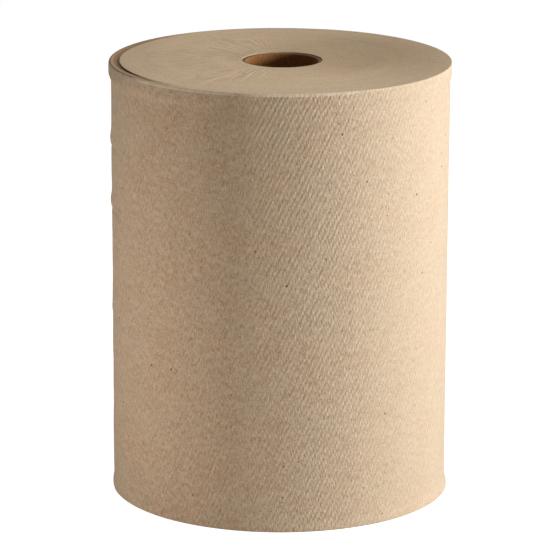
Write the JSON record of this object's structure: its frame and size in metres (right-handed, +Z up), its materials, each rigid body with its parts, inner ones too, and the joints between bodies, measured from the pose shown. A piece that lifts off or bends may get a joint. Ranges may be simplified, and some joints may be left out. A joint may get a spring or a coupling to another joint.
{
  "type": "hardwound paper towel roll",
  "caption": "Wound roll of kraft paper towel on a paperboard core, standing on its end, with loosened outer wraps on one side.",
  "frame": {"origin": "on the core's axis, in the plane of the end that the roll stands on", "axes": "+Z up along the core's axis, -X towards the loosened side of the roll, -Y towards the viewer of the picture, +Y towards the sheet's tail end"},
  "size_m": [0.1586, 0.1569, 0.2032],
  "materials": {
    "kraft_paper": "matt creped kraft paper",
    "core_board": "matt brown paperboard"
  },
  "bodies": {
    "root": {"paper_web": "kraft_paper", "core_tube": "core_board"}
  },
  "joints": []
}
